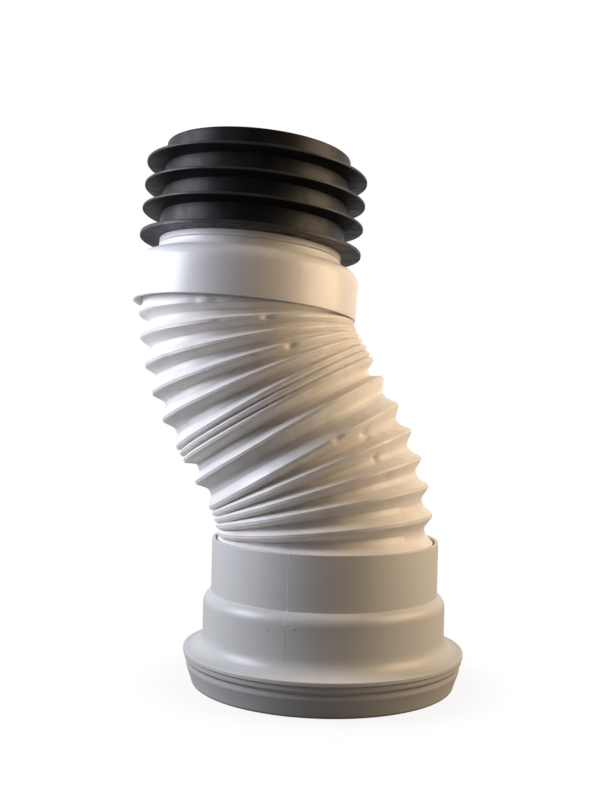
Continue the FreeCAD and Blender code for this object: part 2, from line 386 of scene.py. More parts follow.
@dataclass(frozen=True)
class MouldedShell(Surface):
    """Satin white moulding with faint flow clouds and orange peel, and a mould line where asked,
    whose lighter colour is a painted highlight.
    """

    coat: float = 0.1
    glow: float = 0.4
    colour: Triple = (0.80, 0.80, 0.79)
    shade: Triple = (0.74, 0.74, 0.735)
    roughness: float = 0.34
    line_angle: float | None = None
    line_low: float = 27.0
    line_width: float = 0.22
    # The mould line's lighter colour: a painted highlight along its ridge.
    line_highlight: Triple = (0.93, 0.93, 0.91)
    wander: float = 1.6
    wander_from: float = 46.0
    wander_full: float = 42.0

    def mould_line(self, graph: Graph) -> Signal:
        """The thin line where the mould's halves met.

        Args:
            graph: The material's graph.

        Returns:
            1 on the line, 0 elsewhere.
        """
        cosine, sine = math.cos(self.line_angle), math.sin(self.line_angle)
        place = graph.place()
        height = graph.value("ShaderNodeSeparateXYZ", {}, {0: place}, 2)
        free = height.between(self.wander_from * MM, self.wander_full * MM)
        wander = (graph.noise(90.0, 1.0) - 0.5) * (self.wander * MM) * free
        distance = abs(graph.dot(place, (cosine, sine, 0.0)) + wander)
        line = distance.between(self.line_width * MM, self.line_width * 0.3 * MM)
        front = graph.dot(place, (sine, -cosine, 0.0)).between(0.0, 0.01)
        return line * front * height.between((self.line_low - 1) * MM, self.line_low * MM)

    def look(self, graph: Graph) -> tuple[Socket, Signal, Signal]:
        """Faint clouds, scuffs, orange peel with a ripple, and the mould's line with a painted
        highlight.

        Args:
            graph: The material's graph.

        Returns:
            The base colour, the roughness and the relief.
        """
        clouds = graph.noise(28.0, 3.0, distortion=0.6)
        peel = graph.noise(1400.0, 2.0)
        ripple = graph.noise(120.0, 1.0, (1.0, 1.0, 2.4))
        scuffs = graph.noise(320.0, 3.0, (1.0, 1.0, 3.0), (3.0, 1.0, 2.0)).between(0.66, 0.78)
        colour = graph.blend(clouds.between(0.35, 0.72) * 0.6, self.colour, self.shade)
        rough = clouds * 0.08 + scuffs * 0.1 + (self.roughness - 0.04)
        height = peel * 0.10 + ripple * 0.35
        if self.line_angle is not None:
            line = self.mould_line(graph)
            # Painted highlight: the mould line is painted lighter along its ridge.
            colour = graph.blend(line * 0.6, colour, self.line_highlight)
            height = height + line * 0.9
        return colour, rough, height


@dataclass(frozen=True)
class CreasedTube(Surface):
    """Thin soft white plastic, cloudy from its blowing, with painted shade as thin dark lines along
    the crests and darker, warmer valleys.
    """

    relief: float = 0.45
    glow: float = 0.3
    glow_depth: float = 2.0
    glow_tint: Triple = (1.0, 0.8, 0.62)
    colour: Triple = (0.90, 0.87, 0.83)
    cloud: Triple = (0.81, 0.77, 0.725)
    # Painted shade for the fold valleys, darker and warmer with depth.
    valley: Triple = (0.78, 0.725, 0.66)
    # Painted shade for the thin dark lines along the crests.
    crest: Triple = (0.52, 0.50, 0.47)

    def look(self, graph: Graph) -> tuple[Socket, Signal, Signal]:
        """Blotches, painted shade in the valleys and along the crests, and a stretched relief.

        Args:
            graph: The material's graph.

        Returns:
            The base colour, the roughness and the relief.
        """
        inward = graph.attribute("inward")
        blotch = graph.noise(46.0, 3.0, distortion=1.2)
        fine = graph.noise(210.0, 2.0, shift=(2.0, 5.0, 1.0))
        stretch = graph.noise(75.0, 2.0, (1.0, 1.0, 0.35), (4.0, 0.0, 7.0), 0.8)
        colour = graph.blend(blotch.between(0.45, 0.75) * 0.8, self.colour, self.cloud)
        # Painted shade: the valleys darken with depth.
        colour = graph.blend(inward.between(2.2, 7.5) * (fine * 0.5 + 0.4), colour, self.valley)
        # Painted shade: darker where the skin lies at the crest line, giving thin dark lines along
        # the crests.
        colour = graph.blend(inward.between(0.22, 0.02) * (0.25 + fine * 0.4), colour, self.crest)
        rough = blotch * 0.12 + inward.between(0.5, 4.0) * 0.05 + 0.30
        return colour, rough, stretch * 0.9 + fine * 0.16 + graph.noise(1100.0, 2.0) * 0.04


@dataclass(frozen=True)
class SoftSeal(Surface):
    """Matt grey soft plastic with a trace of pink, painted shade in its groove and a painted contact
    shadow at its foot.
    """

    relief: float = 0.12
    refraction: float = 1.48
    colour: Triple = (0.525, 0.53, 0.51)
    tint: Triple = (0.525, 0.505, 0.495)
    # Painted shade in the groove under the flange.
    groove_shade: Triple = (0.33, 0.29, 0.25)
    # Painted contact shadow at the ring's foot.
    foot: Triple = (0.15, 0.145, 0.14)
    groove: float = 11.9

    def look(self, graph: Graph) -> tuple[Socket, Signal, Signal]:
        """A tinge in clouds, painted shade in the groove and a painted contact shadow at the foot.

        Args:
            graph: The material's graph.

        Returns:
            The base colour, the roughness and the relief.
        """
        height = graph.attribute("along")
        clouds = graph.noise(34.0, 3.0, distortion=0.5)
        fine = graph.noise(420.0, 3.0)
        colour = graph.blend(clouds.between(0.4, 0.7), self.colour, self.tint)
        groove = abs(height - self.groove).between(1.3, 0.2)
        # Painted shade: the groove under the flange is darkened in patches.
        colour = graph.blend(groove * (fine * 0.35 + 0.05), colour, self.groove_shade)
        # Painted contact shadow: darker towards the bottom edge.
        colour = graph.blend(height.between(1.8, 0.2) * 0.85, colour, self.foot)
        rough = fine * 0.12 + clouds * 0.08 + 0.46
        return colour, rough, fine * 0.3 + graph.noise(90.0, 1.0) * 0.7


@dataclass(frozen=True)
class DullRubber(Surface):
    """Black rubber with a dull bloom, fin edges painted lighter as a highlight and partly as wear,
    and a few handling smears.
    """

    specular: float = 0.2
    colour: Triple = (0.008, 0.008, 0.009)
    bloom: Triple = (0.018, 0.017, 0.018)
    # The fin edges' lighter colour: a painted highlight, partly wear.
    edge: Triple = (0.06, 0.06, 0.06)
    fin_radius: float = 56.5

    def look(self, graph: Graph) -> tuple[Socket, Signal, Signal]:
        """Bloom in clouds, fin edges painted lighter (a painted highlight, partly wear) and smears.

        Args:
            graph: The material's graph.

        Returns:
            The base colour, the roughness and the relief.
        """
        clouds = graph.noise(38.0, 4.0, (1.0, 1.0, 2.0), distortion=1.0)
        smears = graph.noise(70.0, 3.0, (1.0, 1.0, 0.5), (5.0, 2.0, 0.0), 1.5)
        fine = graph.noise(900.0, 2.0)
        colour = graph.blend(clouds.between(0.45, 0.75) * 0.7, self.colour, self.bloom)
        # Painted highlight, partly wear: the fins' outer edges are painted lighter.
        rim_highlight_and_wear = graph.attribute("reach").between(self.fin_radius - 0.9, self.fin_radius - 0.1)
        colour = graph.blend(rim_highlight_and_wear * (clouds * 0.8 + 0.2), colour, self.edge)
        rough = smears.between(0.4, 0.7) * 0.14 + fine * 0.06 + 0.36
        return colour, rough, fine * 0.4 + clouds * 0.5


# Meshes.


def curve(first: np.ndarray, pull: np.ndarray, last: np.ndarray, part: float) -> np.ndarray:
    """A point part of the way along a quadratic curve."""
    return first * (1 - part) ** 2 + pull * 2 * part * (1 - part) + last * part**2


def eased(points: np.ndarray, edges: list[float], closed: bool) -> np.ndarray:
    """Round the corners of an outline.

    Args:
        points: Corners as rows of radius and height.
        edges: Each corner's rounding radius; 0 leaves it sharp.
        closed: Whether the last corner joins the first.

    Returns:
        The outline with its corners rounded and a support point beside each rounding.
    """
    count = len(points)
    made: list[np.ndarray] = []
    for place, here in enumerate(points):
        if edges[place] <= 0 or (not closed and place in (0, count - 1)):
            made.append(here)
            continue
        back = points[place - 1] - here
        ahead = points[(place + 1) % count] - here
        back_length, ahead_length = np.linalg.norm(back), np.linalg.norm(ahead)
        back, ahead = back / back_length, ahead / ahead_length
        half_turn = (math.pi - math.acos(float(np.clip(back @ ahead, -1, 1)))) / 2
        shortest = min(back_length, ahead_length)
        cut = min(edges[place] * math.tan(half_turn), CORNER_SHARE * shortest)
        held = shortest > HOLD_ROOM * cut
        made += [here + back * cut * HOLD] if held else []
        for part in np.linspace(0, 1, CORNER_POINTS):
            made.append(here + back * cut * (1 - part) ** 2 + ahead * cut * part**2)
        made += [here + ahead * cut * HOLD] if held else []
    return np.array(made)


@dataclass(frozen=True)
class Arc:
    """An arc to a corner: its end, its bend's radius, its turn (1 left, -1 right), its rounding."""

    radius: float
    height: float
    bend: float
    turn: int = 1
    edge: float = 0.0
    steps: int = 10

    def corners(self, start: tuple[float, float]) -> list[Triple]:
        """The arc's points as corners.

        Args:
            start: The corner before the arc.

        Returns:
            Sharp corners on the arc, and then its end.
        """
        start, end = np.array(start), np.array((self.radius, self.height))
        along = end - start
        half = np.linalg.norm(along) / 2
        side = np.array((-along[1], along[0])) / (2 * half) * self.turn
        centre = (start + end) / 2 + side * math.sqrt(max(self.bend * self.bend - half * half, 0.0))
        first = math.atan2(*(start - centre)[::-1])
        sweep = math.atan2(*(end - centre)[::-1]) - first
        sweep = (sweep + math.pi) % (2 * math.pi) - math.pi
        angles = [first + sweep * step / self.steps for step in range(1, self.steps)]
        points = [centre + self.bend * np.array((math.cos(a), math.sin(a))) for a in angles]
        return [(*point, 0.0) for point in points] + [(self.radius, self.height, self.edge)]


def profile(*corners: Triple | Arc) -> np.ndarray:
    """A closed cross-section, drawn anticlockwise.

    Args:
        corners: Each corner's radius, height and rounding in mm, or an arc that ends in one.

    Returns:
        Rows of radius and height, with the corners rounded.
    """
    drawn: list[Triple] = []
    for corner in corners:
        drawn += corner.corners(drawn[-1][:2]) if isinstance(corner, Arc) else [corner]
    points = np.array(drawn)
    return eased(points[:, :2], points[:, 2].tolist(), True)


def around(sides: int) -> tuple[np.ndarray, np.ndarray]:
    """Cosines and sines of evenly spaced angles."""
    angles = np.arange(sides) * (2 * math.pi / sides)
    return np.cos(angles), np.sin(angles)


def skin_faces(rows: int, sides: int, closed: bool) -> np.ndarray:
    """Four-sided faces between rows of points that each run once round.

    Args:
        rows: Rows of points.
        sides: Points in a row.
        closed: Whether the last row joins the first.

    Returns:
        Point numbers, four to a face, wound to face outward where the rows run upward outside.
    """
    row = np.arange(rows if closed else rows - 1)[:, None]
    side = np.arange(sides)[None, :]
    above, beside = (row + 1) % rows * sides, (side + 1) % sides
    corners = [row * sides + side, row * sides + beside, above + beside, above + side]
    return np.stack(corners, axis=-1).reshape(-1, 4)


def read(mesh: Mesh) -> np.ndarray:
    """A mesh's points.

    Args:
        mesh: The mesh.

    Returns:
        Rows of three numbers, in mm.
    """
    places = np.empty(len(mesh.vertices) * 3)
    mesh.vertices.foreach_get("co", places)
    return places.reshape(-1, 3) / MM


def mark(mesh: Mesh, marks: dict[str, np.ndarray]) -> None:
    """Keep numbers on a mesh's points.

    Args:
        mesh: The mesh.
        marks: The numbers by name, one for each point.
    """
    for name, values in marks.items():
        layer = mesh.attributes.get(name) or mesh.attributes.new(name, "FLOAT", "POINT")
        layer.data.foreach_set("value", values.astype(np.float32))


def smooth(mesh: Mesh, crease: float = CREASE) -> Mesh:
    """Shade a mesh smooth, apart from its sharp edges.

    Args:
        mesh: The mesh.
        crease: The least turn of a sharp edge, in degrees.

    Returns:
        The same mesh.
    """
    mesh.shade_smooth()
    mesh.set_sharp_from_angle(angle=math.radians(crease))
    return mesh


def new_mesh(name: str, points: np.ndarray, faces: np.ndarray) -> Mesh:
    """Add a mesh.

    Args:
        name: Its name.
        points: Its points, in mm.
        faces: Its faces, as point numbers.

    Returns:
        The mesh.
    """
    mesh = bpy.data.meshes.new(name)
    mesh.from_pydata((points * MM).tolist(), [], faces.tolist())
    return mesh


def turned(name: str, outline: np.ndarray, sides: int = SIDES) -> Mesh:
    """Turn a closed outline about its axis.

    Args:
        name: The mesh's name.
        outline: Rows of radius and height, in mm.
        sides: Faces round the axis.

    Returns:
        The mesh, with each point's radius and height as reach and along.
    """
    cosines, sines = around(sides)
    radius, height = outline[:, :1], outline[:, 1:]
    points = np.stack([radius * cosines, radius * sines, height + 0 * cosines], -1).reshape(-1, 3)
    mesh = smooth(new_mesh(name, points, skin_faces(len(outline), sides, True)))
    mark(mesh, {"reach": np.repeat(outline[:, 0], sides), "along": np.repeat(outline[:, 1], sides)})
    return mesh


def remade(mesh: Mesh, extras: list[tuple[np.ndarray, Faces]]) -> Mesh:
    """Add closed shapes to a turned mesh, face its shells outward and mark and smooth it again.

    Args:
        mesh: The turned mesh.
        extras: Each added shape's points in mm and its faces.

    Returns:
        The same mesh.
    """
    form = bmesh.new()
    form.from_mesh(mesh)
    for points, faces in extras:
        made = [form.verts.new(point * MM) for point in points]
        for face in faces:
            form.faces.new([made[place] for place in face])
    bmesh.ops.recalc_face_normals(form, faces=form.faces)
    form.to_mesh(mesh)
    form.free()
    points = read(mesh)
    mark(mesh, {"reach": np.hypot(points[:, 0], points[:, 1]), "along": points[:, 2]})
    return smooth(mesh)


@dataclass
class Rings(TreeForm):
    """Rings of one cross-section, evenly spaced along the axis of the piece that bears them."""

    first: float
    pitch: float
    count: int
    root_radius: float
    tip_radius: float
    root_thickness: float
    tip_thickness: float
    rise: float
    softness: float = 0.3
    edge_lines: int = 3

    lengths = (
        "first", "pitch", "root_radius", "tip_radius",
        "root_thickness", "tip_thickness", "rise", "softness",
    )
    numbers = ("count",)

    def wire(self, graph: Graph, size: dict[str, Signal], geometry: Socket) -> Socket:
        """Turn one cross-section, repeat it and join it to what comes in.

        Args:
            graph: The tree's graph.
            size: The named inputs.
            geometry: The mesh that bears the rings.

        Returns:
            The mesh with its rings.
        """
        root, tip = size["Root radius"], size["Tip radius"]
        half_root, half_tip = size["Root thickness"] * 0.5, size["Tip thickness"] * 0.5
        corners = (
            (root, 0.0 - half_root),
            (tip, size["Rise"] - half_tip),
            (tip, size["Rise"] + half_tip),
            (root, half_root),
        )
        places = [{"X": radius - root, "Y": height} for radius, height in corners]
        nodes = [graph.node("ShaderNodeCombineXYZ", {}, place) for place in places]
        points = {f"Point {number}": node.outputs[0] for number, node in enumerate(nodes, start=1)}
        section = graph.node("GeometryNodeCurvePrimitiveQuadrilateral", {"mode": "POINTS"}, points)
        softness = {0: section.outputs[0], "Count": self.edge_lines, "Radius": size["Softness"]}
        softness["Limit Radius"] = True
        softened = graph.node("GeometryNodeFilletCurve", {"mode": "POLY"}, softness)
        circle = {"Resolution": SIDES, "Radius": root}
        rail = graph.node("GeometryNodeCurvePrimitiveCircle", {"mode": "RADIUS"}, circle)
        curves = {"Curve": rail.outputs[0], "Profile Curve": softened.outputs[0]}
        ring = graph.node("GeometryNodeCurveToMesh", {}, curves)
        start, step = [
            graph.node("ShaderNodeCombineXYZ", {}, {"Z": size[key]}).outputs[0]
            for key in ("First", "Pitch")
        ]
        line = {"Count": size["Count"], "Start Location": start, "Offset": step}
        spots = graph.node("GeometryNodeMeshLine", {"mode": "OFFSET"}, line)
        instances = {"Points": spots.outputs[0], "Instance": ring.outputs[0]}
        copies = graph.node("GeometryNodeInstanceOnPoints", {}, instances)
        joined = graph.node("GeometryNodeJoinGeometry")
        graph.tree.links.new(geometry, joined.inputs[0])
        graph.tree.links.new(copies.outputs[0], joined.inputs[0])
        return joined.outputs[0]

    def added_to(self, mesh: Mesh, material: Material) -> Mesh:
        """Add the rings to a turned mesh of the same finish."""
        return remade(self.grow(mesh, f"{mesh.name}_rings", material), [])


def show(mesh: Mesh, name: str, material: Material, node: str) -> None:
    """Put a finished mesh in the scene in place of its CAD node.

    Args:
        mesh: The mesh, already in its place.
        name: The piece's name.
        material: Its finish.
        node: The CAD node that it stands for.
    """
    mesh.materials.clear()
    mesh.materials.append(material)
    piece = bpy.data.objects.new(name, mesh)
    bpy.context.collection.objects.link(piece)
    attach(piece, BODY)
    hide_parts(node)
    LOG.info("%s: %d points, %d faces", name, len(mesh.vertices), len(mesh.polygons))


# Pieces.


@dataclass
class Bell:
    """The moulded bell: flared flange with a turned-down edge, wide part, shoulder and collar."""

    collar_radius: float = 57.3
    collar_wall: float = 1.8
    rim_height: float = 72.5
    collar_foot: float = 45.8
    shoulder_step: float = 3.9
    shoulder_round: float = 7.0
    section_top: float = 39.5
    flare_top: float = 25.8
    flare_round: float = 8.0
    flare_foot: float = 1.8
    flange_radius: float = 70.8
    edge_high: float = 17.7
    edge_low: float = 15.7
    wall: float = 2.2
    bore_top: float = 24.8
    bore_low: float = 18.9
    bore_step: float = 0.6
    bore_edge: float = 16.4
    seat: float = 48.0
    seat_width: float = 2.9
    line_angle: float = -108.2
    line_width: float = 0.4
    line_height: float = 0.07
    line_sunk: float = 0.1
    line_foot: float = 4.0
    line_end: float = 0.8
    line_rows: int = 34
    sway: float = 0.22
    sway_pace: float = 0.8
    # Greyer than the spigot's white of the same plastic: partly its own tint, partly painted shade
    # for the dimmer light on the bell.
    colour: Triple = (0.64, 0.65, 0.625)
    shade: Triple = (0.595, 0.605, 0.585)
    pips: tuple[Triple, ...] = ((-104.2, 38.9, 0.55), (-116.0, 37.6, 0.5), (-105.0, 36.4, 0.4))
    pip_rings: tuple[tuple[float, float], ...] = ((1.0, -0.25), (0.85, 0.25), (0.45, 0.42))
    pip_sides: int = 10

    def outline(self) -> np.ndarray:
        """The bell's cross-section.

        Returns:
            Rows of radius and height.
        """
        section = self.collar_radius + self.shoulder_step
        collar_bore = self.collar_radius - self.collar_wall
        seat_bore = collar_bore - self.seat_width
        flange_bore = self.flange_radius - self.wall
        return profile(
            (self.flange_radius, self.edge_low, 0.35),
            (self.flange_radius, self.edge_high, 0.5),
            (self.flange_radius - self.flare_foot, self.edge_high + 0.1, 0.1),
            Arc(section, self.flare_top, self.flare_round, turn=-1, steps=16),
            (section, self.section_top, 0.0),
            Arc(self.collar_radius, self.collar_foot, self.shoulder_round, edge=0.5),
            (self.collar_radius, self.rim_height, 0.5),
            (collar_bore, self.rim_height, 0.4),
            (collar_bore, self.seat, 0.2),
            (seat_bore, self.seat, 0.2),
            (seat_bore, self.section_top + self.shoulder_round - self.wall, 0.3),
            (section - self.wall, self.section_top, 1.0),
            (section - self.wall, self.bore_top, 1.0),
            (section + self.bore_step, self.bore_low, 1.0),
            (flange_bore, self.bore_edge, 0.4),
            (flange_bore, self.edge_low, 0.1),
        )

    def mould_line(self) -> tuple[np.ndarray, Faces]:
        """The thin raised line that the mould's halves left up the bell's front.

        Returns:
            The closed strip's points in mm and its faces.
        """
        outline = self.outline()
        bottom, top = self.edge_high + self.line_foot, self.rim_height - self.line_end
        outside = outline[(outline[:, 1] > bottom) & (outline[:, 1] < top)]
        outside = outside[: int(np.argmax(outside[:, 1])) + 1]
        heights = np.r_[np.linspace(bottom, self.collar_foot, self.line_rows), top]
        radii = np.interp(heights, outside[:, 1], outside[:, 0])
        below = heights < self.collar_foot - 4
        sway = np.where(below, self.sway * np.sin(heights * self.sway_pace), 0.0)
        points = []
        section = ((-0.5, -self.line_sunk), (0.0, self.line_height), (0.5, -self.line_sunk))
        for radius, height, shift in zip(radii, heights, sway):
            for side, proud in section:
                angle = math.radians(self.line_angle) + (shift + side * self.line_width) / radius
                reach = radius + proud
                points.append((reach * math.cos(angle), reach * math.sin(angle), height))
        last = 3 * (len(heights) - 1)
        ends = [[2, 1, 0], [last, last + 1, last + 2]]
        return np.array(points), skin_faces(len(heights), 3, False).tolist() + ends

    def pip(self, angle: float, height: float, size: float) -> tuple[np.ndarray, Faces]:
        """A small round pip on the wide section.

        Args:
            angle: Where it stands round the axis, in degrees.
            height: Its height.
            size: Its radius.

        Returns:
            The closed dome's points in mm and its faces.
        """
        radius = self.collar_radius + self.shoulder_step
        cosine, sine = math.cos(math.radians(angle)), math.sin(math.radians(angle))
        out, side = np.array((cosine, sine, 0.0)), np.array((-sine, cosine, 0.0))
        up = np.array((0.0, 0.0, 1.0))
        points = []
        for wide, proud in self.pip_rings:
            for a in np.arange(self.pip_sides) * (2 * math.pi / self.pip_sides):
                spread = (side * math.cos(a) + up * math.sin(a)) * wide * size
                points.append(out * (radius + proud * size) + spread + up * height)
        numbers = list(range(len(points)))
        ends = [numbers[self.pip_sides - 1 :: -1], numbers[-self.pip_sides :]]
        sides = skin_faces(len(self.pip_rings), self.pip_sides, False).tolist()
        return np.array(points), sides + ends

    def dress(self) -> None:
        """Build the bell with its mould line and pips, and show it."""
        finish = MouldedShell(
            "bell_shell",
            colour=self.colour,
            shade=self.shade,
            roughness=0.37,
            coat=0.04,
            glow=0.0,
            line_angle=math.radians(self.line_angle + 90.0),
        )
        extras = [self.mould_line()] + [self.pip(*pip) for pip in self.pips]
        mesh = remade(turned("bell", self.outline()), extras)
        show(mesh, "bell", finish.build(), "socket")


@dataclass
class PanSeal:
    """The soft ring under the flange, with the lips that grip the pan's outlet."""

    flange_radius: float = 70.8
    section_radius: float = 61.2
    bell_wall: float = 2.2
    inset: float = 1.6
    taper: float = 2.7
    corner: float = 1.5
    taper_top: float = 9.4
    groove_depth: float = 0.35
    groove: float = 11.8
    band_low: float = 13.2
    band_inset: float = 0.7
    edge_low: float = 15.7
    edge_high: float = 16.3
    clearance: float = 0.1
    shoulder_radius: float = 61.7
    shoulder_top: float = 18.8
    sleeve_foot: float = 24.5
    sleeve_wall: float = 2.4
    sleeve_top: float = 38.0
    mouth_radius: float = 54.5
    mouth_length: float = 8.0
    sides: int = 208
    lips: Rings = field(
        default_factory=lambda: Rings(
            first=11.0,
            pitch=9.0,
            count=3,
            root_radius=56.7,
            tip_radius=46.0,
            root_thickness=2.0,
            tip_thickness=1.2,
            rise=3.6,
        )
    )

    def outline(self) -> np.ndarray:
        """The ring's cross-section without its lips.

        Returns:
            Rows of radius and height.
        """
        outer = self.flange_radius - self.inset
        bore = self.flange_radius - self.bell_wall - self.clearance
        sleeve = self.section_radius - self.bell_wall - self.clearance
        sleeve_bore = sleeve - self.sleeve_wall
        band = self.flange_radius - self.band_inset
        return profile(
            (outer - self.taper - self.corner, 0.0, 0.0),
            Arc(outer - self.taper, self.corner, self.corner),
            (outer, self.taper_top, 1.6),
            (outer - self.groove_depth, self.groove, 0.7),
            (band, self.band_low, 0.4),
            (band, self.edge_low, 0.2),
            (bore, self.edge_low, 0.1),
            (bore, self.edge_high, 0.3),
            (self.shoulder_radius, self.shoulder_top, 0.5),
            (sleeve, self.sleeve_foot, 0.5),
            (sleeve, self.sleeve_top, 0.4),
            (sleeve_bore, self.sleeve_top, 0.6),
            (sleeve_bore, self.mouth_length, 0.4),
            (self.mouth_radius, self.mouth_length, 0.4),
            (self.mouth_radius, 0.0, 1.0),
        )

    def dress(self) -> None:
        """Build the ring with its lips and show it."""
        material = SoftSeal("pan_seal_soft").build()
        mesh = self.lips.added_to(turned("pan_seal_ring", self.outline(), self.sides), material)
        show(mesh, "pan_seal_ring", material, "pan_seal")


@dataclass(frozen=True)
class Fold:
    """The valley between two crests, with its opening at the left and at the right."""

    left: Opening
    right: Opening


FAN_RIGHT = Fold(Opening.SHUT, Opening.OPEN)
FAN_LEFT = Fold(Opening.OPEN, Opening.SHUT)
PINCHED = Fold(Opening.PINCHED, Opening.PINCHED)
SWINGING = [
    *[FAN_RIGHT] * 5,
    Fold(Opening.OPEN, Opening.WIDE),
    Fold(Opening.PART, Opening.HALF),
    PINCHED,
    PINCHED,
]
RETURNING = [
    Fold(Opening.WIDE, Opening.PINCHED),
    *[FAN_LEFT] * 3,
    *[Fold(Opening.PART, Opening.PINCHED)] * 2,
]


@dataclass(frozen=True)
class Dent:
    """A pressed-in spot: its fold, its share of the way up, its angle in degrees, size and depth."""

    fold: int
    part: float
    angle: float
    size: float
    depth: float


@dataclass(frozen=True)
class Stance:
    """Where a crest's circle stands."""

    centre: Vector
    turn: Matrix

    def raised(self, height: float) -> Stance:
        """The same stance moved along its own axis."""
        return Stance(self.centre + self.turn @ Vector((0, 0, height)), self.turn)

    def ring(self, radius: float, cosines: np.ndarray, sines: np.ndarray) -> np.ndarray:
        """A circle that stands here.

        Args:
            radius: Its radius.
            cosines: The cosines of its points' angles.
            sines: The sines of those angles.

        Returns:
            The circle's points.
        """
        axes = np.array(self.turn)
        across = cosines[:, None] * axes[:, 0] + sines[:, None] * axes[:, 1]
        return np.array(self.centre) + radius * across

    def seat(self, mesh: Mesh) -> None:
        """Move a turned mesh here."""
        mesh.transform(Matrix.Translation(self.centre * MM) @ self.turn.to_4x4())


def attitude(tilt: float, lean: float) -> Matrix:
    """The turn of a crest whose right side is lifted by tilt and near side by lean, in degrees."""
    leaning = Matrix.Rotation(math.radians(-lean), 3, "X")
    return leaning @ Matrix.Rotation(math.radians(-tilt), 3, "Y")


@dataclass
class FoldedTube(TreeForm):
    """The thin-walled folded tube: each fold keeps its wall's length as it opens or shuts."""

    crest_radius: float = 54.8
    first_crest: float = 71.1
    lean_step: float = 2.0
    leaning_folds: int = 2
    slip: float = 0.6
    crest_flat: float = 1.2
    crest_hollow: float = 0.14
    crest_share: float = 0.3
    shoulder: float = 0.5
    shut_shoulder: float = 1.3
    shoulder_share: float = 0.45
    shut_fall: float = 1.15
    open_fall: float = 0.5
    shut_width: float = 3.4
    open_width: float = 9.0
    shut_reach: float = 0.15
    valley_flat: float = 3.6
    valley_share: float = 0.26
    least_valley: float = 0.05
    flank: float = 6.1
    last_share: float = 0.38
    ripple: float = 0.32
    ripple_scale: float = 62.0
    ripple_detail: float = 1.5
    seed: int = 7
    wall: float = 0.5
    inner_step: int = 5
    crease: float = 50.0
    cuff_radius: float = 55.4
    top_cuff_radius: float = 55.5
    cuff_end: float = 48.0
    top_cuff_length: float = 12.0
    skirt_overlap: float = 6.5
    end_valley: float = 4.6
    end_valley_depth: float = 5.5
    end_cuff: float = 9.0
    folds: list[Fold] = field(default_factory=lambda: SWINGING + RETURNING)
    dents: tuple[Dent, ...] = (
        Dent(12, 0.90, -78, 2.2, 1.8),
        Dent(10, 0.80, -70, 1.9, 1.6),
        Dent(10, 0.75, -90, 2.2, 1.5),
        Dent(14, 0.10, -113, 2.6, 0.6),
        Dent(14, 0.10, -102, 2.4, 0.7),
        Dent(12, 0.75, -102, 2.2, 1.1),
        Dent(12, 0.70, -121, 2.0, 1.0),
        Dent(11, 0.75, -137, 2.0, 1.0),
        Dent(4, 0.80, -71, 1.9, 1.4),
        Dent(4, 0.65, -53, 1.8, 2.2),
        Dent(3, 0.60, -53, 1.8, 1.9),
        Dent(2, 0.70, -51, 1.8, 1.9),
    )

    lengths = (
        "crest_flat", "crest_hollow", "shoulder", "shut_shoulder", "shut_width",
        "open_width", "valley_flat", "flank", "ripple",
    )
    numbers = ("valley_share", "ripple_scale", "seed")

    def stances(self) -> tuple[list[Stance], list[Stance]]:
        """Follow the folds upward.

        Returns:
            The crests' stances, and between them the stances half-way.
        """
        crest = Stance(Vector((0, 0, self.first_crest)), Matrix.Identity(3))
        crests, middles = [crest], []
        tilt = lean = 0.0
        for place, fold in enumerate(self.folds):
            left, right = fold.left.value, fold.right.value
            turn = math.degrees(math.asin((right - left) / (2 * self.crest_radius)))
            lean_turn = self.lean_step if place < self.leaning_folds else 0.0
            slip = 0.0 if place < len(SWINGING) else self.slip
            middle = attitude(tilt + turn / 2, lean + lean_turn / 2)
            half_way = middle @ Vector((-slip, 0, (left + right) / 2)) / 2
            middles.append(Stance(crest.centre + half_way, middle))
            tilt += turn
            lean += lean_turn
            crest = Stance(middles[-1].centre + half_way, attitude(tilt, lean))
            crests.append(crest)
        return crests, middles

    @staticmethod
    def stations() -> np.ndarray:
        """Where the points of one fold lie between the section's corners.

        Returns:
            A row for each point from one crest up to the next: its shares of the crest's edge, the
            shoulder, the foot of the flank and the valley's middle, and 1 for the upper half.
        """
        centre, edge, shoulder, foot, middle = np.eye(5)
        first, last = shoulder + (edge - shoulder) * 0.4, shoulder + (foot - shoulder) * 0.13
        low, level = foot + (shoulder - foot) * 0.24, foot + (middle - foot) * 0.8
        rows = [centre, edge * 0.82 + centre * 0.18, edge, edge * 0.8 + shoulder * 0.2]
        rows += [curve(first, shoulder, last, part) for part in (0.25, 0.9)]
        rows += [(last + low) / 2]
        rows += [curve(low, foot, level, part) for part in (0.0, 0.45, 0.9)]
        lower = [np.r_[row, 0.0] for row in rows]
        upper = [np.r_[row, 1.0] for row in reversed(rows[1:])]
        return np.array([*lower, np.r_[middle, 0.0], *upper])

    def end_rows(self, crest: Stance, way: int, cuff: float, length: float) -> list[np.ndarray]:
        """The rows of an end cuff and its valley, from the crest outward.

        Args:
            crest: The end crest's stance.
            way: 1 above the crest, -1 below.
            cuff: The cuff's radius.
            length: How far the cuff's end lies from the crest.

        Returns:
            Rows of points.
        """
        corners = (
            (self.crest_radius, 0.0, 0),
            (self.crest_radius, self.crest_flat / 2, 0.4),
            (self.crest_radius - self.end_valley_depth, self.end_valley, 1.6),
            (cuff, self.end_cuff, 1.0),
            (cuff, length, 0),
        )
        shape = eased(np.array(corners)[:, :2], [edge for *_, edge in corners], False)
        circle = around(SIDES)
        return [crest.raised(way * height).ring(radius, *circle) for radius, height in shape[1:]]

    def chain(self) -> tuple[Mesh, list[int]]:
        """The bare chain of circles that the folding tree takes in.

        Returns:
            The chain's mesh, whose points know the crests above and below them, and each fold's
            first row.
        """
        circle = around(SIDES)
        crests, middles = self.stances()
        nothing = np.zeros((SIDES, 3))

        def still(rows: list[np.ndarray]) -> list[tuple[np.ndarray, ...]]:
            """Rows that stay where they are."""
            return [(row, row, nothing, nothing, nothing) for row in rows]

